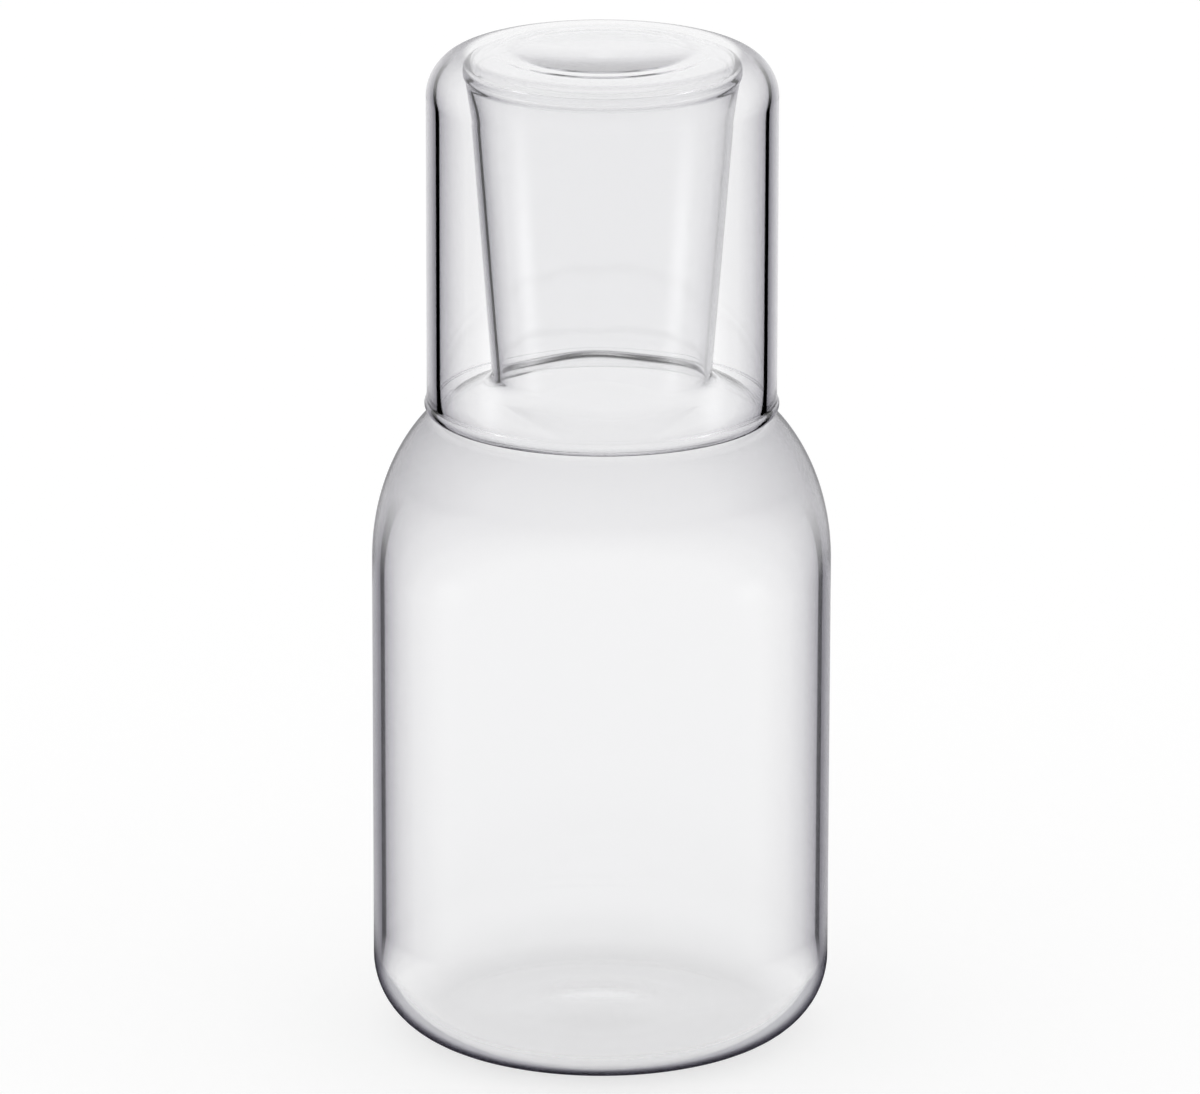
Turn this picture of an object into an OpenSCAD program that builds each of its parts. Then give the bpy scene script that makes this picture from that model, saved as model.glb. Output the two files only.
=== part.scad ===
// Bedside carafe of clear blown glass with its tumbler turned over the neck.
// Millimetres, +Z up. The origin is the middle of the ring that the carafe stands on.

/* [Carafe body] */
// Outer diameter of the straight body
body_d = 100; // [92:1:120]
// Height at which the straight wall turns into the shoulder
wall_h = 107; // [80:1:160]
// Height that the shoulder climbs above the straight wall
shoulder_rise = 40; // [30:1:50]
// Distance that the shoulder reaches in from the wall
shoulder_run = 30; // [24:1:36]
// Thickness of the carafe's glass below the shoulder
carafe_wall = 1.6; // [1.2:0.1:2.6]
// Thickness of the carafe's base
carafe_base_t = 3; // [2:0.25:6]
// Radius of the rounded edge around the base
base_edge_r = 16.5; // [8:0.5:20]
// Width of the flat ring that the carafe stands on
base_ring_w = 9.5; // [4:0.5:16]
// Height of the pushed-up middle of the base
punt_h = 2.5; // [1:0.25:6]

/* [Carafe neck] */
// Thickness of the neck's glass
neck_wall = 1.1; // [0.9:0.1:2]
// Angle at which the neck opens upwards, in degrees
neck_flare = 4.5; // [0:0.5:6]
// Radius of the hollow curve where the neck leaves the shoulder
neck_root_r = 3; // [2:0.25:5]
// Amount by which the lip of the mouth swells out on each side of the wall
mouth_lip_swell = 0.5; // [0.1:0.05:0.8]
// Gap all round between the lip of the mouth and the tumbler's side
mouth_gap = 6.5; // [4:0.5:9]
// Gap between the lip of the mouth and the inside of the tumbler's base
mouth_headroom = 1.1; // [0.8:0.1:5]

/* [Tumbler] */
// Outer diameter of the tumbler
tumbler_d = 76; // [68:1:84]
// Height of the tumbler from its lip to its foot
tumbler_h = 80; // [60:1:110]
// Thickness of the tumbler's side
tumbler_wall = 1.9; // [1.4:0.1:2.6]
// Thickness of the tumbler's base
tumbler_base_t = 2; // [1.5:0.1:5]
// Radius of the rounded edge around the tumbler's base
foot_edge_r = 9.5; // [5:0.5:14]
// Width of the flat ring that the tumbler stands on when it is turned up
foot_ring_w = 4; // [2:0.5:8]
// Distance from that ring out to the middle of the rounded edge
foot_fall_w = 5.5; // [3:0.5:8]
// Angle at which the base falls away around that ring, in degrees
foot_fall = 5; // [1:0.5:8]
// Depth of the bowl-shaped dimple inside that ring
dimple_h = 1; // [0.5:0.1:3]
// Amount by which the tumbler's lip swells out on each side of the wall
tumbler_lip_swell = 0.5; // [0.1:0.05:0.8]

/* [Fit] */
// Gap between the tumbler's lip and the shoulder that it rests on
seat_gap = 0.2; // [0.1:0.05:0.5]

/* [Hidden] */
$fn = 96;
glass_colour = [0.86, 0.93, 0.94, 0.4];
arc_steps = 16;
seek_steps = 40;

// Carafe body
body_r = body_d / 2;
crown_r = body_r - shoulder_run;
crown_z = wall_h + shoulder_rise;
base_edge_mid_r = body_r - base_edge_r;
base_inner_r = base_edge_r - carafe_wall;
punt_r = base_edge_mid_r - base_ring_w;

// Tumbler, with its lip seated on the shoulder and its foot on top
tumbler_r = tumbler_d / 2;
tumbler_bore_r = tumbler_r - tumbler_wall;
tumbler_lip_r = tumbler_wall / 2 + tumbler_lip_swell;
tumbler_lip_mid_r = tumbler_r - tumbler_wall / 2;
seat_off = tumbler_lip_r + seat_gap;
seat_turn = seek(function(t) tumbler_lip_mid_r - shoulder_at(t, seat_off).x, 0, 180, seek_steps);
tumbler_lip_z = shoulder_at(seat_turn, seat_off).y;
foot_z = tumbler_lip_z - tumbler_lip_r + tumbler_h;
floor_z = foot_z - tumbler_base_t;
foot_edge_mid_r = tumbler_r - foot_edge_r;
foot_inner_r = foot_edge_r - tumbler_wall;
foot_ring_r = foot_edge_mid_r - foot_fall_w;
dimple_r = foot_ring_r - foot_ring_w;

// Neck: its lip stays clear of the tumbler's side and of the corner over it
mouth_lip_r = neck_wall / 2 + mouth_lip_swell;
mouth_lip_mid_r = tumbler_bore_r - mouth_gap - mouth_lip_r;
mouth_reach = foot_inner_r - mouth_lip_r - mouth_headroom;
mouth_aside = max(0, mouth_lip_mid_r - foot_edge_mid_r);
mouth_lip_z = foot_edge_z(floor_z, foot_inner_r) + sqrt(pow(mouth_reach, 2) - pow(mouth_aside, 2));
mouth_lip_mid = [mouth_lip_mid_r, mouth_lip_z];
neck_out = [cos(neck_flare), -sin(neck_flare)];
root_gap = neck_root_r + neck_wall / 2;
root_turn = seek(function(t) root_gap - neck_distance(shoulder_at(t, neck_root_r)), 0, 180, seek_steps);
root_mid = shoulder_at(root_turn, neck_root_r);

// Turn at which f, which grows with the turn, passes zero, found by halving the span
function seek(f, low, high, steps) =
    let (mid = (low + high) / 2)
    steps == 0 ? mid :
    f(mid) > 0 ? seek(f, low, mid, steps - 1) : seek(f, mid, high, steps - 1);

// Points of an arc about a middle, both ends included
function arc(mid, r, from, to) =
    [for (i = [0 : arc_steps]) let (a = from + (to - from) * i / arc_steps) mid + r * [cos(a), sin(a)]];

// Way that the shoulder faces: a quarter ellipse, then level from its crown to the axis
function shoulder_facing(t) =
    t < 90 ? atan2(shoulder_run * sin(t), shoulder_rise * cos(t)) : 90;

// Point of the shoulder's outline, moved off it along its facing
function shoulder_at(t, off) =
    let (on = t < 90
        ? [crown_r + shoulder_run * cos(t), wall_h + shoulder_rise * sin(t)]
        : [crown_r * (180 - t) / 90, crown_z])
    on + off * [cos(shoulder_facing(t)), sin(shoulder_facing(t))];

// Points of the shoulder from the wall to the neck's root, outside at depth 0 and inside at depth 1
function shoulder(depth) =
    [for (i = [0 : arc_steps])
        let (s = i / arc_steps, glass = carafe_wall + (neck_wall - carafe_wall) * s)
        shoulder_at(root_turn * s, -depth * glass)];

// Distance of a point from the middle of the neck's wall
function neck_distance(p) = (p - mouth_lip_mid) * neck_out;

// Hollow curve between the shoulder and the neck, in the order that the outline runs up
function neck_root(r) =
    let (turns = arc(root_mid, r, 180 + shoulder_facing(root_turn), 180 - neck_flare))
    [for (i = [1 : arc_steps]) turns[i]];

// Rounded lip on the end of a wall of the given thickness, from the side that it starts on
function lip(mid, r, wall, facing) =
    let (a = acos(wall / 2 / r))
    arc(mid, r, facing - a, facing + 180 + a);

// Outline of the pushed-up middle of the base, raised by a height, from the axis outwards
function punt(raise) =
    [for (i = [0 : arc_steps])
        let (s = i / arc_steps) [punt_r * s, raise + punt_h * (1 + cos(180 * s)) / 2]];

// Outline of the dimple in the tumbler's foot, a shallow bowl, from the axis outwards, under a height
function dimple(top) =
    [for (i = [0 : arc_steps])
        let (s = i / arc_steps) [dimple_r * s, top - dimple_h * (1 - pow(s, 2))]];

// Height of the middle of the tumbler's rounded edge, of a given radius, under a foot or a floor
function foot_edge_z(top, r) = top - r / cos(foot_fall) - foot_fall_w * tan(foot_fall);

// Outline of the tumbler's base from the axis outwards: dimple, flat ring, gentle fall and rounded edge
function foot(top, r) = concat(
    dimple(top),
    [[foot_ring_r, top]],
    reversed(arc([foot_edge_mid_r, foot_edge_z(top, r)], r, 0, 90 - foot_fall)));

function reversed(list) = [for (i = [len(list) - 1 : -1 : 0]) list[i]];

// Carafe: base with a punt, straight wall, domed shoulder, opening neck and rounded lip
module carafe() {
    outside = concat(
        punt(0),
        arc([base_edge_mid_r, base_edge_r], base_edge_r, -90, 0),
        shoulder(0),
        neck_root(neck_root_r));
    inside = concat(
        punt(carafe_base_t),
        arc([base_edge_mid_r, carafe_base_t + base_inner_r], base_inner_r, -90, 0),
        shoulder(1),
        neck_root(neck_root_r + neck_wall));
    color(glass_colour)
        rotate_extrude()
            polygon(concat(outside, lip(mouth_lip_mid, mouth_lip_r, neck_wall, -neck_flare), reversed(inside)));
}

// Tumbler: turned over, with its lip down on the shoulder and its dimpled foot up
module tumbler() {
    lip_mid = [tumbler_lip_mid_r, tumbler_lip_z];
    outside = foot(foot_z, foot_edge_r);
    inside = foot(floor_z, foot_inner_r);
    color(glass_colour)
        rotate_extrude()
            polygon(concat(outside, reversed(lip(lip_mid, tumbler_lip_r, tumbler_wall, 180)), reversed(inside)));
}

carafe();
tumbler();
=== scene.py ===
"""Bedside carafe of clear blown glass, with its tumbler turned over the neck, in a white studio."""

import math
from collections import namedtuple

import bpy
import numpy as np
from bpy.props import FloatProperty, FloatVectorProperty, IntProperty, PointerProperty
from mathutils import Matrix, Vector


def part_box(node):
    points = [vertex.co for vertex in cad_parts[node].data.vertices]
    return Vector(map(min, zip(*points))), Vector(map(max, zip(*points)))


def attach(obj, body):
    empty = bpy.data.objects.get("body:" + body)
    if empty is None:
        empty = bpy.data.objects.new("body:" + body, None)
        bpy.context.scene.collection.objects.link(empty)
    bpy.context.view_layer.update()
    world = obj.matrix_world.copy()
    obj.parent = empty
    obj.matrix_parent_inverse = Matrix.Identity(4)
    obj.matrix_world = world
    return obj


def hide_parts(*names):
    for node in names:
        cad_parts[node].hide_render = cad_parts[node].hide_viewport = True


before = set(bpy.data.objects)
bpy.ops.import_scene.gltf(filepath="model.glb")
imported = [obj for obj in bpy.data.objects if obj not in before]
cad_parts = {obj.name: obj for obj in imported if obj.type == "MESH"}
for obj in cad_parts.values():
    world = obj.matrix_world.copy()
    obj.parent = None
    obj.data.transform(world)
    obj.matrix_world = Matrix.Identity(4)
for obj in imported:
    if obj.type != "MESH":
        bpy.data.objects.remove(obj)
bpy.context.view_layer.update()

bl_info = {
    "name": "Bedside carafe with tumbler",
    "version": (1, 0, 0),
    "blender": (4, 5, 0),
    "location": "3D View > Sidebar > Carafe",
    "description": "Builds a blown glass carafe and its tumbler, and a white studio around them",
    "category": "Add Mesh",
}

CARAFE_LOW, CARAFE_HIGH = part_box("carafe")
TUMBLER_LOW, TUMBLER_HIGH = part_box("tumbler")
MM = 0.001
SAME_POINT = 1e-3 * MM
PHOTO_WIDTH_PX = 1200
SENSOR_MM = 36
CLIP_END = 50

# Steps along each part of an outline, and steps in which the neck's root is sought
LIP_STEPS = 16
PUNT_STEPS = 18
BASE_RING_STEPS = 3
BASE_EDGE_STEPS = 18
BODY_STEPS = 10
SHOULDER_STEPS = 36
ROOT_STEPS = 14
NECK_STEPS = 18
FOOT_STEPS = 44
FOOT_EDGE_STEPS = 20
SIDE_STEPS = 24
SEEK_STEPS = 4000

# Tumbler's foot: shares of its steps at each place, softness of its corners, and how far and how often its
# outer bend is spread out
FOOT_SHARES = (0, 0.2, 0.8, 1)
DIMPLE_SOFT = 0.08
RING_SOFT = 0.25 * MM
BEND_REACH = 3 * MM
BEND_PASSES = 8

# Waves at the neck's root: their reach up and down, their reach out as a share of the body's diameter,
# and the height, count and start of each
WAVE_REACH = 7 * MM
WAVE_OUT = 0.36
WAVES = ((0.6, 2, 0.9), (0.5, 5, -0.4), (0.2, 7, 2.1))

# Painted shade along the glass's edges, for the dark surroundings that it refracts and mirrors: the light
# left along plain edges and along the painted black line, by how far a face is turned past the line's place,
# where that place lies on the ramps, and the powers by which each colour of the painted shade darkens
SHADE_STOPS = ((0.1, 1.0), (0.3, 0.8), (0.42, 0.5), (0.52, 0.25), (0.65, 0.12), (0.75, 0.06))
LINE_STOPS = (
    (0.05, 1.0), (0.2, 0.92), (0.3, 0.75), (0.4, 0.52), (0.435, 0.38), (0.445, 0.0),
    (0.49, 0.0), (0.5, 0.25), (0.58, 0.5), (0.7, 0.75), (0.8, 0.88),
)
LINE_AT = 0.5
SHADE_CAST = (1.02, 1.04, 0.96)

# Blend at which Layer Weight gives the plain turn of a face, and how often light may meet glass
PLAIN_FACING = 0.5
GLASS_BOUNCES = 32

# Painted dark edges, for the dark surroundings seen in the glass: how upright a face starts to darken and
# the gain until it is full, the painted line's shift and the fading where a face tips up, and the reach and
# the fading of a lip's own painted line
EDGE_FROM = 0.1
EDGE_GAIN = 0.1
TIP_PLACE = 0.15
TIP_FADE = 8
LIP_REACH = 3 * MM
LIP_FADE = 4

# Painted black line on a lip, for the dark surroundings seen in it: its strength, how much wider it is, and
# the length and the swing of its zigzag
LipLine = namedtuple("LipLine", "boost widens zigzag swing")
MOUTH_LINE = LipLine(boost=1.6, widens=0.25, zigzag=0.34 * MM, swing=0.1)
BEAD_LINE = LipLine(boost=1.0, widens=0.55, zigzag=0.6 * MM, swing=0.06)

# Painted dark outline of the carafe's base, for the dark surroundings that its edge refracts: its place, the
# rise of that place up the edge, its reach and run-out
BASE_PLACE = 0.47
BASE_PLACE_RISE = 0.31
BASE_REACH = 2.0
BASE_BLEND = 8 * MM

# Painted grey of the shoulder, for darker surroundings mirrored and seen through it: the tip at which it is
# full, the shares of the body's radius between which it starts, and its place and reach
SHOULDER_TIP = 0.4
SHOULDER_FROM = 0.68
SHOULDER_FULL = 0.76
SHOULDER_PLACE = 0.66
SHOULDER_REACH = 0.4

# Painted dark band inside the neck's root, a painted shade where sight grazes its inner curve: its height,
# the leans between which it starts, its place, reach and line, and the count, start and fading of its
# painted strokes
ROOT_HEIGHT = 4 * MM
ROOT_LEAN = 0.25
ROOT_LEAN_FULL = 0.45
ROOT_PLACE = 0.85
ROOT_REACH = 0.1
ROOT_LINE = 0.9
ROOT_STROKES = 8
ROOT_STROKE_TURN = -1.3
ROOT_STROKE_FADE = 0.25

# Dimple's painted shade, for darker surroundings seen in its slope: its place and reach, the slope at which
# it is full, and its end as a share of its radius
DIMPLE_PLACE = 0.8
DIMPLE_REACH = 6.0
DIMPLE_STEEP = 0.02
DIMPLE_END = 1.2

# Cords from blowing: how they are drawn out, their size, detail and roughness, and their strength and depth
CORD_DRAW = (1, 1, 0.12)
CORD_SCALE = 90.0
CORD_DETAIL = 2.0
CORD_ROUGHNESS = 0.4
CORD_STRENGTH = 0.05
CORD_DEPTH = 0.2 * MM

# Studio: light up the sky and across a soft box, and the floor's sides, gap, paint and glow
SKY_STOPS = ((0.0, 1.0), (0.5, 1.0), (0.85, 0.6), (1.0, 0.6))
BOX_STOPS = ((0.0, 0.0), (0.5, 1.0), (1.0, 0.0))
FLOOR_SIDES = 96
FLOOR_GAP = 0.02 * MM
FLOOR_PAINT = (0.45, 0.45, 0.45, 1)
FLOOR_GLOW = (0.65, 0.65, 0.65, 1)

# Sockets of a Mix node that mixes colours
MIX_SHARE, MIX_FIRST, MIX_SECOND, MIX_RESULT = 0, 6, 7, 2


def length(name, default, about):
    """A length in metres that a user can set."""
    return FloatProperty(name=name, description=about, default=default, unit="LENGTH", precision=5)


def angle(name, degrees, about):
    """An angle that a user can set, given in degrees."""
    return FloatProperty(name=name, description=about, default=math.radians(degrees), subtype="ANGLE")


def share(name, default, about):
    """A share from nothing to all that a user can set."""
    return FloatProperty(name=name, description=about, default=default, min=0, max=1, subtype="FACTOR")


def colour(name, default, about):
    """A colour that a user can set."""
    return FloatVectorProperty(
        name=name, description=about, default=default, size=3, subtype="COLOR", min=0, max=1
    )


class CarafeSizes(bpy.types.PropertyGroup):
    """Sizes of the carafe"""

    body_d: length("Body", CARAFE_HIGH[0] - CARAFE_LOW[0], "Diameter of the straight body")
    mouth_z: length("Height", CARAFE_HIGH[2], "Height of the lip around the mouth")
    wall: length("Wall", 1.6 * MM, "Thickness of the glass below the shoulder")
    neck_wall: length("Neck wall", 1.1 * MM, "Thickness of the glass in the neck")
    base_t: length("Base", 3 * MM, "Thickness of the base")
    edge_r: length("Base edge", 16.5 * MM, "Radius of the rounded edge around the base")
    ring_w: length("Standing ring", 9.5 * MM, "Width of the flat ring that the carafe stands on")
    punt_h: length("Punt", 2.5 * MM, "Height of the pushed-up middle of the base")
    wall_h: length("Straight wall", 107 * MM, "Height at which the wall turns into the shoulder")
    shoulder_rise: length("Shoulder rise", 40 * MM, "Height that the shoulder climbs")
    shoulder_run: length("Shoulder run", 30 * MM, "Distance that the shoulder reaches in")
    mouth_d: length("Mouth", 57.1 * MM, "Diameter across the middle of the lip around the mouth")
    neck_flare: angle("Neck flare", 4.5, "Angle at which the neck opens upwards")
    root_r: length("Neck root", 3 * MM, "Radius of the curve where the neck leaves the shoulder")
    lip_swell: length("Lip swell", 0.5 * MM, "How far the lip stands out on each side of the wall")
    lip_blend: length("Lip blend", 2.4 * MM, "Length over which the lip runs out into the wall")
    # Painted shade along the edges, for dark surroundings seen in the glass, is set by the shares below
    edge: share("Edge", 1.0, "How dark the glass is along its edges")
    neck_edge: share("Neck edge", 0.72, "How dark the neck is along its edges")
    # Painted shade: the neck's left edge is painted darker and its right paler
    neck_painted_side_shade: share("Heavier side", 0.4, "How much darker the neck's left edge is, and paler its right")
    tipped: share("Tipped edge", 0.0, "How much of that darkness stays where a face tips up")
    line: share("Line", 0.7, "How black the line is where sight grazes the inner wall")
    line_from: share("Line start", 0.93, "How upright a face is where the black line starts")
    line_full: share("Line full", 0.995, "How upright a face is where the black line is full")
    shoulder_shade: share("Shoulder shade", 0.6, "How grey the shoulder is outside the tumbler")
    root_shade: share("Root shade", 0.9, "How dark the neck's root is inside, where it turns from the eye")
    root_wave: length("Root wave", 0.5 * MM, "Height of the waves that blowing left at the neck's root")


class TumblerSizes(bpy.types.PropertyGroup):
    """Sizes of the tumbler"""

    outer_d: length("Tumbler", 76 * MM, "Diameter of the straight side")
    foot_z: length("Foot", TUMBLER_HIGH[2], "Height of the upturned foot above the table")
    lip_z: length("Lip", TUMBLER_LOW[2], "Height of the lip's lower edge above the table")
    wall: length("Wall", 1.9 * MM, "Thickness of the side")
    base_t: length("Base", 2 * MM, "Thickness of the base")
    edge_r: length("Foot edge", 9.5 * MM, "Radius of the rounded edge around the foot")
    fall_w: length("Fall", 5.5 * MM, "Distance from the flat ring out to the middle of the rounded edge")
    fall: angle("Fall angle", 5, "Angle at which the base falls away around the flat ring")
    ring_w: length("Standing ring", 4 * MM, "Width of the flat ring around the dimple")
    dimple_h: length("Dimple", 1.0 * MM, "Depth of the dimple in the foot")
    lip_swell: length("Lip swell", 0.5 * MM, "How far the lip stands out on each side of the wall")
    lip_blend: length("Lip blend", 1.8 * MM, "Length over which the lip runs out into the wall")
    # Painted shade along the edges and in the dimple, for dark surroundings seen in the glass, is set below
    edge: share("Edge", 1.0, "How dark the glass is along its edges")
    tipped: share("Tipped edge", 0.6, "How much of that darkness stays where a face tips up")
    line: share("Line", 1.0, "How black the line is where sight grazes the inner wall")
    line_from: share("Line start", 0.35, "How upright a face is where the black line starts")
    line_full: share("Line full", 0.7, "How upright a face is where the black line is full")
    dimple_shade: share("Dimple shade", 0.42, "How dark the dimple is where it turns away from the eye")


class GlassLook(bpy.types.PropertyGroup):
    """Look of the glass"""

    tint: colour("Tint", (0.975, 0.975, 0.977), "What one face of the glass lets through")
    ior: FloatProperty(name="Bend", description="Index of refraction", default=1.47, min=1, max=2)
    turns: IntProperty(name="Facets", description="Faces around each piece", default=360, min=48, max=512)


class StudioSet(bpy.types.PropertyGroup):
    """Camera, floor and light"""

    aim_x: length("Aim aside", -0.33 * MM, "Place across of the point that the camera looks at")
    aim_z: length("Aim", 109.2 * MM, "Height of the point that the camera looks at")
    distance: length("Distance", 2.2, "Distance of the camera from that point")
    pitch: angle("Pitch", 16.885, "Angle at which the camera looks down")
    roll: angle("Roll", 0.125, "Angle at which the camera leans to the left")
    focal_px: FloatProperty(name="Focal length", description="In pixels of the photograph", default=10100)
    floor_r: length("Floor", 6.0, "Radius of the floor")
    box_r: length("Soft boxes", 0.25, "Distance of the two soft boxes from the object")
    box_turn: angle("Soft box turn", 76, "Angle around the object between the camera and a soft box")
    box_z: length("Soft box middle", 0.085, "Height of the middle of a soft box")
    box_w: length("Soft box width", 0.15, "Width of a soft box")
    box_h: length("Soft box height", 0.1, "Height of a soft box")
    box_tilt: angle("Soft box tilt", 36, "Angle at which a soft box faces up")
    box_spread: angle("Soft box spread", 60, "Angle over which a soft box shines")
    box_watts: FloatProperty(
        name="Soft box power", description="Light of a soft box", default=0.0112, unit="POWER"
    )


def arc(mid, radius, start, end, steps):
    """Points of a circle about mid, from one angle to another in degrees."""
    a = np.radians(np.linspace(start, end, steps + 1))
    return np.asarray(mid) + radius * np.stack((np.cos(a), np.sin(a)), axis=1)


def stretch(start, end, steps):
    """Points of a straight line, both ends included."""
    s = np.linspace(0, 1, steps + 1)[:, None]
    return np.asarray(start) * (1 - s) + np.asarray(end) * s


def swell(radius, height, top, steps):
    """Half a cosine wave of the given height, from its crest on the axis out to nothing at the radius."""
    s = np.linspace(0, 1, steps + 1)
    return np.stack((radius * s, top + height * (1 + np.cos(np.pi * s)) / 2), axis=1)


def eased(x, soft):
    """The positive part of x with a soft corner: half of x + sqrt(x^2 + soft^2)."""
    return (x + np.sqrt(x**2 + soft**2)) / 2


def foot(t, end_r, steps):
    """The tumbler's base from the axis outwards: a shallow bowl, a flat ring and a gentle fall around it.

    At radius r it lies below the ring by the dimple's depth times the eased 1 - (r / dimple radius)^2, and
    by the tangent of the fall times the eased distance from the ring's outer edge.
    """
    ring_r, dimple_r = foot_radii(t)
    places = (0, dimple_r - t.ring_w / 2, ring_r + t.ring_w / 2, end_r)
    r = np.interp(np.linspace(0, 1, steps + 1), FOOT_SHARES, places)
    dimple = t.dimple_h * eased(1 - (r / dimple_r) ** 2, DIMPLE_SOFT)
    return np.stack((r, -dimple - math.tan(t.fall) * eased(r - ring_r, RING_SOFT)), axis=1)


def softened(outline, mid_r):
    """An outline with its bend near a radius spread out: points move towards their neighbours' middle."""
    near = np.exp(-(((outline[1:-1, :1] - mid_r) / BEND_REACH) ** 2)) / 2
    for _ in range(BEND_PASSES):
        outline[1:-1] += near * ((outline[:-2] + outline[2:]) / 2 - outline[1:-1])
    return outline


def foot_radii(t):
    """Outer and inner radius of the flat ring on the tumbler's foot."""
    ring_r = t.outer_d / 2 - t.edge_r - t.fall_w
    return ring_r, ring_r - t.ring_w


def joined(*parts):
    """One outline from several, with points that repeat left out."""
    points = np.concatenate(parts)
    step = np.linalg.norm(np.diff(points, axis=0), axis=1)
    return points[np.concatenate(([True], step > SAME_POINT))]


def lip(mid, up, out, half, bulge, blend):
    """Rounded end of a wall: a half circle about mid, whose sides run out in half a cosine wave."""
    mid, up, out = np.asarray(mid), np.asarray(up), np.asarray(out)
    s = np.linspace(1, 0, LIP_STEPS + 1)[:, None]
    side = half + bulge * (1 + np.cos(np.pi * s)) / 2
    outer = mid - blend * s * up + side * out
    inner = mid - blend * s * up - side * out
    a = np.radians(np.linspace(0, 180, 2 * LIP_STEPS + 1))[:, None]
    end = mid + (half + bulge) * (np.cos(a) * out + np.sin(a) * up)
    return joined(outer, end, inner[::-1])


def shoulder(c, turn, off):
    """Quarter ellipse from the wall to the crown, at turns in degrees, moved off along its normal."""
    t = np.radians(np.atleast_1d(turn))
    on = np.stack(
        (c.body_d / 2 - c.shoulder_run * (1 - np.cos(t)), c.wall_h + c.shoulder_rise * np.sin(t)), axis=1
    )
    normal = np.stack((c.shoulder_rise * np.cos(t), c.shoulder_run * np.sin(t)), axis=1)
    off = np.broadcast_to(off, t.shape)[:, None]
    return on + off * normal / np.linalg.norm(normal, axis=1, keepdims=True)


def carafe_outline(c):
    """Outline of the carafe from the axis under its base, up outside, over the lip and down inside."""
    half = c.neck_wall / 2
    lip_r = half + c.lip_swell
    lip_mid = np.array((c.mouth_d / 2, c.mouth_z - lip_r))
    flare = c.neck_flare
    up = np.array((math.sin(flare), math.cos(flare)))
    out = np.array((math.cos(flare), -math.sin(flare)))
    turns = np.linspace(0, 90, SEEK_STEPS + 1)
    gap = (shoulder(c, turns, c.root_r) - lip_mid) @ out
    root_turn = np.interp(-(c.root_r + half), -gap, turns)
    root_mid = shoulder(c, root_turn, c.root_r)[0]
    at = math.radians(root_turn)
    facing = math.degrees(math.atan2(c.shoulder_run * math.sin(at), c.shoulder_rise * math.cos(at)))
    edge_mid_r = c.body_d / 2 - c.edge_r
    punt_r = edge_mid_r - c.ring_w
    share_up = np.linspace(0, 1, SHOULDER_STEPS + 1)

    def side(depth, floor_z):
        """The outside at depth 0, or the inside at depth 1, from the axis up to the foot of the lip."""
        edge_r = c.edge_r - depth * c.wall
        root_r = c.root_r + depth * c.neck_wall
        root = arc(root_mid, root_r, 180 + facing, 180 - math.degrees(flare), ROOT_STEPS)
        neck_top = lip_mid - c.lip_blend * up + (half - depth * c.neck_wall) * out
        edge = arc((edge_mid_r, floor_z + edge_r), edge_r, -90, 0, BASE_EDGE_STEPS)
        glass = c.wall + (c.neck_wall - c.wall) * share_up
        climb = shoulder(c, root_turn * share_up, -depth * glass)
        return joined(
            swell(punt_r, c.punt_h, floor_z, PUNT_STEPS),
            stretch((punt_r, floor_z), (edge_mid_r, floor_z), BASE_RING_STEPS),
            edge,
            stretch(edge[-1], climb[0], BODY_STEPS),
            climb,
            root,
            stretch(root[-1], neck_top, NECK_STEPS),
        )

    rim = lip(lip_mid, up, out, half, c.lip_swell, c.lip_blend)
    return joined(side(0, 0), rim, side(1, c.base_t)[::-1])


def tumbler_outline(t):
    """Outline of the turned tumbler from the axis under its base, down inside and up outside."""
    half = t.wall / 2
    outer_r = t.outer_d / 2
    lip_mid = np.array((outer_r - half, t.lip_z + half + t.lip_swell))

    def side(edge_r, top):
        """The outside or the inside, from the axis down to the foot of the lip."""
        mid_z = top - edge_r / math.cos(t.fall) - t.fall_w * math.tan(t.fall)
        edge = arc((outer_r - t.edge_r, mid_z), edge_r, 90 - math.degrees(t.fall), 0, FOOT_EDGE_STEPS)
        middle = foot(t, edge[0, 0], FOOT_STEPS) + (0, top)
        base = softened(np.concatenate((middle, edge[1:])), edge[0, 0])
        return joined(base, stretch(edge[-1], (edge[-1, 0], lip_mid[1] + t.lip_blend), SIDE_STEPS))

    inside = side(t.edge_r - t.wall, t.foot_z - t.base_t)
    outside = side(t.edge_r, t.foot_z)
    bead = lip(lip_mid, (0, -1), (-1, 0), half, t.lip_swell, t.lip_blend)
    return joined(inside, bead, outside[::-1])


def around(turns):
    """Angles of equal steps once round the axis."""
    return np.linspace(0, 2 * np.pi, turns, endpoint=False)


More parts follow.
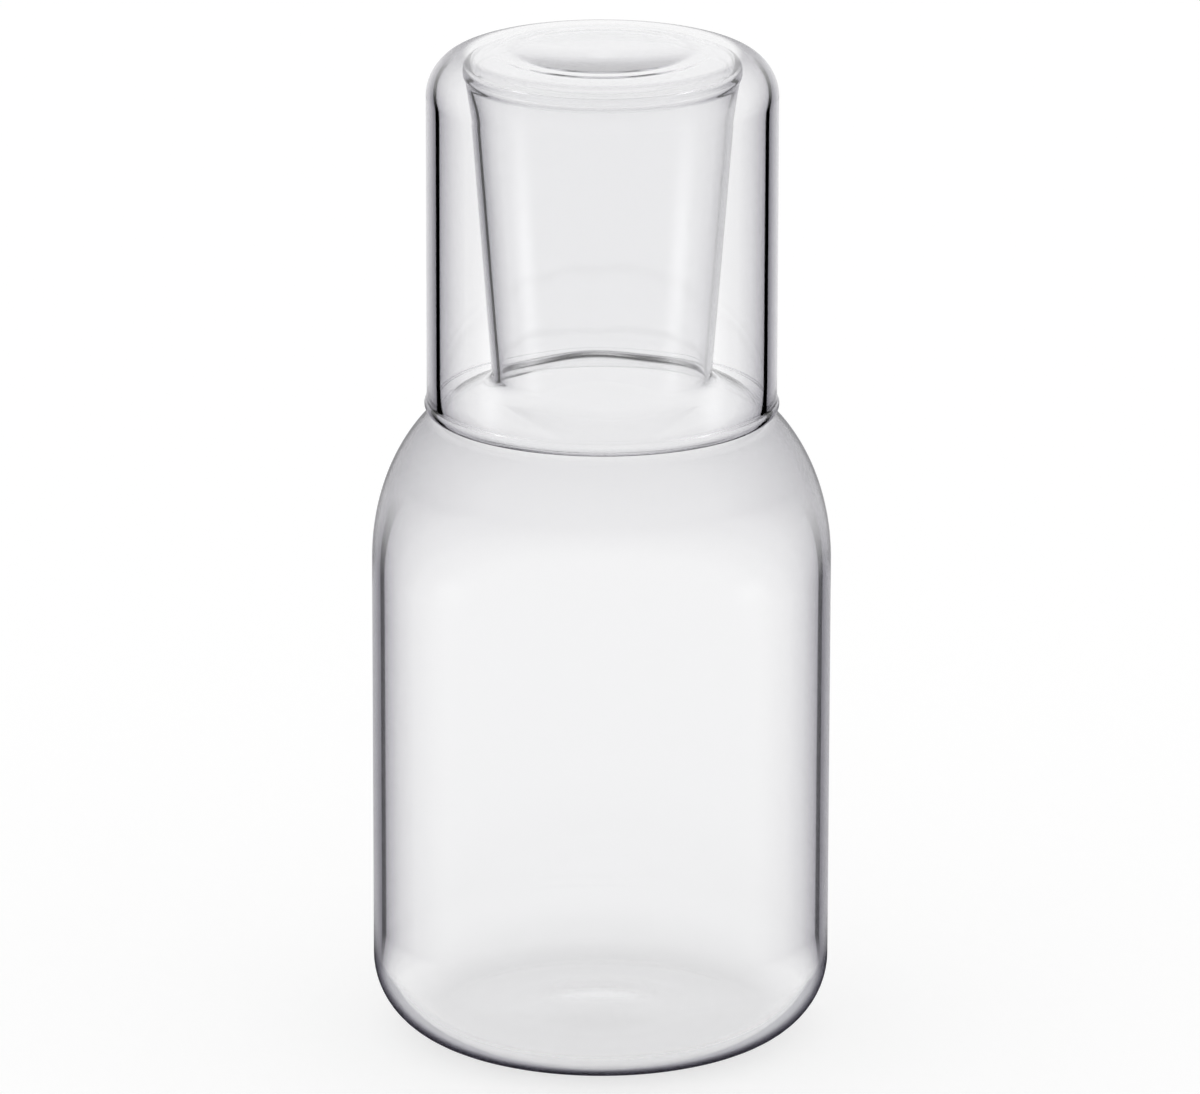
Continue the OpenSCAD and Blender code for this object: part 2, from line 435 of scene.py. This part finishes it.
def revolved(name, outline, turns, values, wave=None):
    """A closed surface: the outline, which starts and ends on the axis, carried once round the axis.

    The point at row i and turn a is (r cos a, r sin a, z), with r and z from the outline's row. A wave lifts
    each point by an amount that depends on its row and turn. The first and last rows are single points that
    close the poles. Each of the values becomes an attribute, with a number for each row, or for each row and
    turn.
    """
    rows = outline[1:-1]
    a = around(turns)
    r = np.broadcast_to(rows[:, :1], (len(rows), turns))
    z = np.broadcast_to(rows[:, 1:], (len(rows), turns))
    if wave is not None:
        z = z + wave(rows, a)
    grid = np.stack((r * np.cos(a), r * np.sin(a), z), axis=2).reshape(-1, 3)
    poles = [(0, 0, outline[0, 1]), (0, 0, outline[-1, 1])]
    points = np.concatenate((grid, poles))
    place = np.arange(len(grid)).reshape(len(rows), turns)
    after = np.roll(place, -1, axis=1)
    quads = np.stack((place[:-1], after[:-1], after[1:], place[1:]), axis=2).reshape(-1, 4)
    first = np.stack((np.full(turns, len(grid)), after[0], place[0]), axis=1)
    last = np.stack((np.full(turns, len(grid) + 1), place[-1], after[-1]), axis=1)
    mesh = bpy.data.meshes.new(name)
    mesh.from_pydata(points, [], quads.tolist() + first.tolist() + last.tolist())
    mesh.polygons.foreach_set("use_smooth", np.ones(len(mesh.polygons), dtype=bool))
    for label, value in values.items():
        spread = np.broadcast_to(value.reshape(len(outline), -1), (len(outline), turns)).astype(np.float32)
        spread = np.concatenate((spread[1:-1].ravel(), spread[[0, -1], 0]))
        mesh.attributes.new(label, "FLOAT", "POINT").data.foreach_set("value", spread)
    mesh.update()
    piece = bpy.data.objects.new(name, mesh)
    bpy.context.scene.collection.objects.link(piece)
    return piece


def directions(outline):
    """Unit vectors along an outline, one at each point."""
    along = np.gradient(outline, axis=0)
    return along / np.linalg.norm(along, axis=1, keepdims=True)


def painted_edge_values(outline, outside, wall, lip_z, lip_line, edge, sizes, painted_side_shade=1.0):
    """Painted shade along the glass's edges, for each point of an outline, as attributes of the surface.

    The shade is painted: it stands in for the dark surroundings that the glass refracts and mirrors. The
    painted dark line lies where sight just grazes the inner wall: at radius r and wall w, a face is then
    turned away from the eye by 1 - sqrt(1 - (1 - w / r)^2), and by more as it tips up. Only the outside is
    painted darker: fully where it is upright or leans over, less as it tips up, and more or less by a factor
    around the axis, which paints one side darker and the other paler. On the rounded lip the painted line is
    strong and wide, and runs zigzag.
    """
    along = directions(outline)
    upright = np.clip(along[:, 1:], 0, 1) * outside
    inner = np.clip(1 - wall / np.maximum(outline[:, :1], wall), 0, 1)
    off_lip = outline[:, 1:] - lip_z
    near_lip = np.clip(lip_line.boost * np.exp(-((off_lip / LIP_REACH) ** 2)) * upright**LIP_FADE, 0, 1)
    tip = np.clip(-along[:, :1], 0, 1)
    zigzag = near_lip * np.sin(off_lip / lip_line.zigzag)
    line = sizes.line * np.clip((upright - sizes.line_from) / (sizes.line_full - sizes.line_from), 0, 1)
    kept = np.where(tip > 0, sizes.tipped + (1 - sizes.tipped) * upright**TIP_FADE, 1)
    shade = edge * kept * np.clip((upright - EDGE_FROM) / EDGE_GAIN, 0, 1)
    return {
        "edge_place": 1 - np.sqrt(1 - inner**2) + TIP_PLACE * tip**2 - lip_line.swing * zigzag,
        "edge_reach": 1 - lip_line.widens * near_lip,
        "painted_edge_line": np.clip(np.maximum(line * painted_side_shade, near_lip), 0, 1),
        "painted_edge_shade": np.clip(np.maximum(shade * painted_side_shade, near_lip), 0, 1),
    }


def neck_wave(c):
    """Waves that blowing left at the neck's root: sums of sines around it, fading up and down the glass."""

    def wave(rows, a):
        """How far each point is lifted, by its row and turn."""
        r, z = rows[:, :1], rows[:, 1:]
        root_z = c.wall_h + c.shoulder_rise
        near = np.exp(-(((z - root_z) / WAVE_REACH) ** 2)) * (r < c.body_d * WAVE_OUT)
        lift = sum(height * np.sin(count * a + start) for height, count, start in WAVES)
        return c.root_wave * near * lift

    return wave


def new_node(tree, kind, **inputs):
    """A node with values set on its inputs."""
    node = tree.nodes.new(kind)
    for name, value in inputs.items():
        node.inputs[name].default_value = value
    return node


def ramp(tree, value, stops, shape="LINEAR"):
    """A ramp over a value, from a list of places and colours."""
    node = tree.nodes.new("ShaderNodeValToRGB")
    node.color_ramp.interpolation = shape
    elements = node.color_ramp.elements
    while len(elements) < len(stops):
        elements.new(1.0)
    for element, (place, shade) in zip(elements, stops):
        element.position = place
        element.color = (*shade, 1)
    tree.links.new(value, node.inputs["Fac"])
    return node.outputs["Color"]


def sums(tree, operation, first, second):
    """A number worked out from two others, which are outputs or plain numbers."""
    node = tree.nodes.new("ShaderNodeMath")
    node.operation = operation
    for socket, value in zip(node.inputs, (first, second)):
        if isinstance(value, float):
            socket.default_value = value
        else:
            tree.links.new(value, socket)
    return node.outputs[0]


def mixed(tree, share_of_second, first, second):
    """A colour between two others, of which the first may be a plain colour."""
    node = tree.nodes.new("ShaderNodeMix")
    node.data_type = "RGBA"
    tree.links.new(share_of_second, node.inputs[MIX_SHARE])
    if isinstance(first, tuple):
        node.inputs[MIX_FIRST].default_value = first
    else:
        tree.links.new(first, node.inputs[MIX_FIRST])
    tree.links.new(second, node.inputs[MIX_SECOND])
    return node.outputs[MIX_RESULT]


def greys(stops, tint=(1, 1, 1), cast=(1, 1, 1)):
    """Stops of a ramp from places and shades, in a tint, with each colour's shade raised to its cast."""
    return [(place, [part * shade**lean for part, lean in zip(tint, cast)]) for place, shade in stops]


def carried(tree, label):
    """A number that the mesh carries."""
    node = tree.nodes.new("ShaderNodeAttribute")
    node.attribute_name = label
    return node.outputs["Fac"]


def blown_glass(name, look):
    """Clear glass with faint cords from blowing, with painted shade where the mesh's attributes say so: a
    painted dark line and grey along its edges by Layer Weight's facing, on faces that the eye meets from
    outside.
    """
    material = bpy.data.materials.new(name)
    material.use_nodes = True
    tree = material.node_tree
    tree.nodes.clear()
    # Painted shade: how far a face turns from the eye picks a painted grey and black line that darken the
    # tint
    facing = new_node(tree, "ShaderNodeLayerWeight", Blend=PLAIN_FACING).outputs["Facing"]
    turned = sums(tree, "SUBTRACT", facing, carried(tree, "edge_place"))
    past = sums(tree, "ADD", sums(tree, "MULTIPLY", turned, carried(tree, "edge_reach")), LINE_AT)
    shade = ramp(tree, past, greys(SHADE_STOPS, look.tint, SHADE_CAST))
    line = ramp(tree, past, greys(LINE_STOPS, look.tint, SHADE_CAST))
    dark = mixed(tree, carried(tree, "painted_edge_line"), shade, line)
    back = new_node(tree, "ShaderNodeNewGeometry").outputs["Backfacing"]
    front = sums(tree, "SUBTRACT", 1.0, back)
    darkened = sums(tree, "MULTIPLY", front, carried(tree, "painted_edge_shade"))
    edged = mixed(tree, darkened, (*look.tint, 1), dark)
    shader = new_node(tree, "ShaderNodeBsdfGlass", Roughness=0.0, IOR=look.ior)
    tree.links.new(edged, shader.inputs["Color"])
    place = new_node(tree, "ShaderNodeTexCoord")
    drawn = new_node(tree, "ShaderNodeMapping", Scale=CORD_DRAW)
    cords = new_node(
        tree, "ShaderNodeTexNoise", Scale=CORD_SCALE, Detail=CORD_DETAIL, Roughness=CORD_ROUGHNESS
    )
    bump = new_node(tree, "ShaderNodeBump", Strength=CORD_STRENGTH, Distance=CORD_DEPTH)
    output = new_node(tree, "ShaderNodeOutputMaterial")
    tree.links.new(place.outputs["Object"], drawn.inputs["Vector"])
    tree.links.new(drawn.outputs["Vector"], cords.inputs["Vector"])
    tree.links.new(cords.outputs["Fac"], bump.inputs["Height"])
    tree.links.new(bump.outputs["Normal"], shader.inputs["Normal"])
    tree.links.new(shader.outputs["BSDF"], output.inputs["Surface"])
    return material


class BuildCarafe(bpy.types.Operator):
    """Builds the carafe as one surface of revolution with its inside"""

    bl_idname = "carafe.build_carafe"
    bl_label = "Carafe"

    def execute(self, context):
        sizes, look = context.scene.carafe_sizes, context.scene.glass_look
        outline = carafe_outline(sizes)
        turn = around(look.turns)
        neck = np.clip((outline[:, 1:] - sizes.wall_h) / sizes.shoulder_rise, 0, 1)
        wall = sizes.wall + (sizes.neck_wall - sizes.wall) * neck
        lip_z = sizes.mouth_z - sizes.neck_wall / 2 - sizes.lip_swell
        outside = np.arange(len(outline))[:, None] <= np.argmax(outline[:, 1])
        # Painted shade along the edges: lighter on the neck, painted darker on its left side and paler on
        # its right
        edge = sizes.edge + (sizes.neck_edge - sizes.edge) * neck
        painted_side_shade = 1 - sizes.neck_painted_side_shade * neck * np.cos(turn)
        values = painted_edge_values(outline, outside, wall, lip_z, MOUTH_LINE, edge, sizes, painted_side_shade)
        self.darken_base(outline, outside, sizes, values)
        self.darken_shoulder(outline, outside, sizes, values)
        self.darken_root(outline, outside, turn, sizes, values)
        piece = revolved("carafe_glass", outline, look.turns, values, neck_wave(sizes))
        piece.data.materials.append(blown_glass("carafe_glass", look))
        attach(piece, "carafe")
        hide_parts("carafe")
        return {"FINISHED"}

    def darken_base(self, outline, outside, sizes, values):
        """Turns the painted dark line into a painted dark outline along the rounded edge of the base, a
        painted shade.
        """
        low = outside * np.clip((sizes.edge_r + BASE_BLEND - outline[:, 1:]) / BASE_BLEND, 0, 1)
        place = BASE_PLACE + BASE_PLACE_RISE * np.clip(directions(outline)[:, 1:], 0, 1)
        values["edge_place"] += low * (place - values["edge_place"])
        values["edge_reach"] += low * (BASE_REACH - values["edge_reach"])
        values["painted_edge_line"] *= 1 - low

    def darken_shoulder(self, outline, outside, sizes, values):
        """Spreads a painted grey over the shoulder around the tumbler, darker towards its edge, for darker
        surroundings.
        """
        part = outline[:, :1] / (sizes.body_d / 2)
        tip = np.clip(-directions(outline)[:, :1] / SHOULDER_TIP, 0, 1) * (outline[:, 1:] > sizes.wall_h)
        tip = outside * tip * np.clip((part - SHOULDER_FROM) / (SHOULDER_FULL - SHOULDER_FROM), 0, 1)
        values["edge_place"] += tip * (SHOULDER_PLACE - values["edge_place"])
        values["edge_reach"] += tip * (SHOULDER_REACH - values["edge_reach"])
        values["painted_edge_shade"] += tip * (sizes.shoulder_shade - values["painted_edge_shade"])

    def darken_root(self, outline, outside, turn, sizes, values):
        """Lays a painted dark band in strokes along the inside of the neck's root, where it turns from the
        eye.
        """
        lean = np.abs(directions(outline)[:, :1])
        off_root = outline[:, 1:] - sizes.wall_h - sizes.shoulder_rise
        near = np.exp(-((off_root / ROOT_HEIGHT) ** 2)) * (outline[:, :1] < sizes.mouth_d / 2) * ~outside
        near = near * np.clip((lean - ROOT_LEAN) / (ROOT_LEAN_FULL - ROOT_LEAN), 0, 1)
        strokes = 1 - ROOT_STROKE_FADE * (1 - np.sin(ROOT_STROKES * turn + ROOT_STROKE_TURN))
        values["edge_place"] += near * (ROOT_PLACE - values["edge_place"])
        values["edge_reach"] += near * (ROOT_REACH - values["edge_reach"])
        values["painted_edge_line"] += ROOT_LINE * near
        values["painted_edge_shade"] += sizes.root_shade * near * strokes


class BuildTumbler(bpy.types.Operator):
    """Builds the turned tumbler as one surface of revolution with its inside"""

    bl_idname = "carafe.build_tumbler"
    bl_label = "Tumbler"

    def execute(self, context):
        sizes, look = context.scene.tumbler_sizes, context.scene.glass_look
        outline = tumbler_outline(sizes)
        outside = np.arange(len(outline))[:, None] >= np.argmin(outline[:, 1])
        lip_z = sizes.lip_z + sizes.wall / 2 + sizes.lip_swell
        # Painted shade along the tumbler's edges, for dark surroundings seen in the glass
        values = painted_edge_values(outline, outside, sizes.wall, lip_z, BEAD_LINE, sizes.edge, sizes)
        self.darken_dimple(outline, outside, sizes, values)
        piece = revolved("tumbler_glass", outline, look.turns, values)
        piece.data.materials.append(blown_glass("tumbler_glass", look))
        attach(piece, "tumbler")
        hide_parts("tumbler")
        return {"FINISHED"}

    def darken_dimple(self, outline, outside, sizes, values):
        """Paints shade on the dimple where it slopes away from the eye, for darker surroundings seen in that
        slope.
        """
        dimple = outside & (outline[:, :1] < DIMPLE_END * foot_radii(sizes)[1])
        steep = np.clip(-directions(outline)[:, 1:] / DIMPLE_STEEP, 0, 1)
        values["edge_place"][dimple] = DIMPLE_PLACE
        values["edge_reach"][dimple] = DIMPLE_REACH
        values["painted_edge_shade"][dimple] = sizes.dimple_shade * steep[dimple]


def seen_or_mirrored(tree):
    """A value that is 1 for rays from the camera, off a mirror or through glass."""
    path = new_node(tree, "ShaderNodeLightPath")
    value = path.outputs["Is Camera Ray"]
    for name in ("Is Glossy Ray", "Is Transmission Ray"):
        value = sums(tree, "MAXIMUM", value, path.outputs[name])
    return value


def white_floor():
    """White floor: dull paint, with a glow that only sight, mirrors and glass see, so a shadow stays."""
    material = bpy.data.materials.new("studio_floor")
    material.use_nodes = True
    tree = material.node_tree
    tree.nodes.clear()
    paint = new_node(tree, "ShaderNodeBsdfDiffuse", Color=FLOOR_PAINT)
    glow = new_node(tree, "ShaderNodeEmission", Color=FLOOR_GLOW)
    both = new_node(tree, "ShaderNodeAddShader")
    tree.links.new(seen_or_mirrored(tree), glow.inputs["Strength"])
    tree.links.new(paint.outputs["BSDF"], both.inputs[0])
    tree.links.new(glow.outputs["Emission"], both.inputs[1])
    output = new_node(tree, "ShaderNodeOutputMaterial")
    tree.links.new(both.outputs["Shader"], output.inputs["Surface"])
    return material


def stage_mesh(name, points, faces, material):
    """Adds a stage object from points and faces."""
    mesh = bpy.data.meshes.new(name)
    mesh.from_pydata(points, [], faces)
    mesh.materials.append(material)
    piece = bpy.data.objects.new(name, mesh)
    bpy.context.scene.collection.objects.link(piece)


class BuildStudio(bpy.types.Operator):
    """Builds the white floor, the light and the camera"""

    bl_idname = "carafe.build_studio"
    bl_label = "Studio"

    def execute(self, context):
        studio = context.scene.studio_set
        self.floor(studio)
        self.sky(context.scene)
        self.soft_boxes(context.scene, studio)
        self.camera(context.scene, studio)
        context.scene.view_settings.view_transform = "Standard"
        cycles = context.scene.cycles
        cycles.max_bounces = cycles.glossy_bounces = cycles.transmission_bounces = GLASS_BOUNCES
        return {"FINISHED"}

    def floor(self, studio):
        """A round floor, a hair below the glass that stands on it."""
        a = around(FLOOR_SIDES)
        low = np.full_like(a, -FLOOR_GAP)
        rim = np.stack((studio.floor_r * np.cos(a), studio.floor_r * np.sin(a), low), axis=1)
        stage_mesh("floor", rim, [list(range(len(rim)))], white_floor())

    def soft_boxes(self, scene, studio):
        """Two soft boxes, one on either side, tipped up so that the neck mirrors them but not the body."""
        for name, side in (("left", -1), ("right", 1)):
            lamp = bpy.data.lights.new("soft_box_" + name, "AREA")
            lamp.shape = "RECTANGLE"
            lamp.size, lamp.size_y = studio.box_w, studio.box_h
            lamp.energy = studio.box_watts
            lamp.spread = studio.box_spread
            self.soft_edges(lamp)
            box = bpy.data.objects.new(lamp.name, lamp)
            aside, ahead = math.sin(studio.box_turn), math.cos(studio.box_turn)
            box.location = (side * studio.box_r * aside, -studio.box_r * ahead, studio.box_z)
            box.rotation_euler = (math.pi / 2 + studio.box_tilt, 0, side * studio.box_turn)
            box.visible_camera = False
            box.visible_diffuse = False
            scene.collection.objects.link(box)

    def soft_edges(self, lamp):
        """Dims a lamp from its middle out to its sides."""
        lamp.use_nodes = True
        tree = lamp.node_tree
        tree.nodes.clear()
        across = new_node(tree, "ShaderNodeSeparateXYZ")
        place = new_node(tree, "ShaderNodeNewGeometry").outputs["Parametric"]
        tree.links.new(place, across.inputs["Vector"])
        sides = [ramp(tree, across.outputs[axis], greys(BOX_STOPS), "EASE") for axis in "XY"]
        shine = new_node(tree, "ShaderNodeEmission")
        tree.links.new(sums(tree, "MULTIPLY", *sides), shine.inputs["Strength"])
        output = new_node(tree, "ShaderNodeOutputLight")
        tree.links.new(shine.outputs["Emission"], output.inputs["Surface"])

    def sky(self, scene):
        """A white sky that greys towards the top."""
        world = bpy.data.worlds.new("studio_sky")
        scene.world = world
        world.use_nodes = True
        tree = world.node_tree
        tree.nodes.clear()
        sky = new_node(tree, "ShaderNodeBackground", Strength=1.0)
        way = new_node(tree, "ShaderNodeTexCoord")
        split = new_node(tree, "ShaderNodeSeparateXYZ")
        tree.links.new(way.outputs["Generated"], split.inputs["Vector"])
        tree.links.new(ramp(tree, split.outputs["Z"], greys(SKY_STOPS)), sky.inputs["Color"])
        output = new_node(tree, "ShaderNodeOutputWorld")
        tree.links.new(sky.outputs["Background"], output.inputs["Surface"])

    def camera(self, scene, studio):
        """A long lens that looks down at the object from the front."""
        camera = bpy.data.objects.new("camera", bpy.data.cameras.new("camera"))
        camera.data.sensor_fit = "HORIZONTAL"
        camera.data.sensor_width = SENSOR_MM
        camera.data.lens = studio.focal_px / PHOTO_WIDTH_PX * SENSOR_MM
        camera.data.clip_end = CLIP_END
        back, rise = math.cos(studio.pitch), math.sin(studio.pitch)
        camera.location = (studio.aim_x, -studio.distance * back, studio.aim_z + studio.distance * rise)
        turn = Matrix.Rotation(math.pi / 2 - studio.pitch, 3, "X") @ Matrix.Rotation(studio.roll, 3, "Z")
        camera.rotation_euler = turn.to_euler()
        scene.collection.objects.link(camera)
        scene.camera = camera


class CarafePanel(bpy.types.Panel):
    """Lists the sizes, the looks and the steps"""

    bl_idname = "VIEW3D_PT_carafe"
    bl_label = "Carafe"
    bl_space_type = "VIEW_3D"
    bl_region_type = "UI"
    bl_category = "Carafe"

    def draw(self, context):
        for group in GROUPS:
            box = self.layout.box()
            values = getattr(context.scene, group)
            for name in values.__annotations__:
                box.prop(values, name)
        for operator in OPERATORS:
            self.layout.operator(operator.bl_idname)


GROUPS = {
    "carafe_sizes": CarafeSizes,
    "tumbler_sizes": TumblerSizes,
    "glass_look": GlassLook,
    "studio_set": StudioSet,
}
OPERATORS = (BuildCarafe, BuildTumbler, BuildStudio)


def register():
    """Registers the classes and their places on the scene."""
    for group in (*GROUPS.values(), *OPERATORS, CarafePanel):
        bpy.utils.register_class(group)
    for name, group in GROUPS.items():
        setattr(bpy.types.Scene, name, PointerProperty(type=group))


def unregister():
    """Takes them off again."""
    for name in GROUPS:
        delattr(bpy.types.Scene, name)
    for group in (CarafePanel, *reversed(OPERATORS), *reversed(GROUPS.values())):
        bpy.utils.unregister_class(group)


def main():
    """Builds the pieces and the studio."""
    register()
    bpy.ops.carafe.build_carafe()
    bpy.ops.carafe.build_tumbler()
    bpy.ops.carafe.build_studio()


if __name__ == "__main__":
    main()
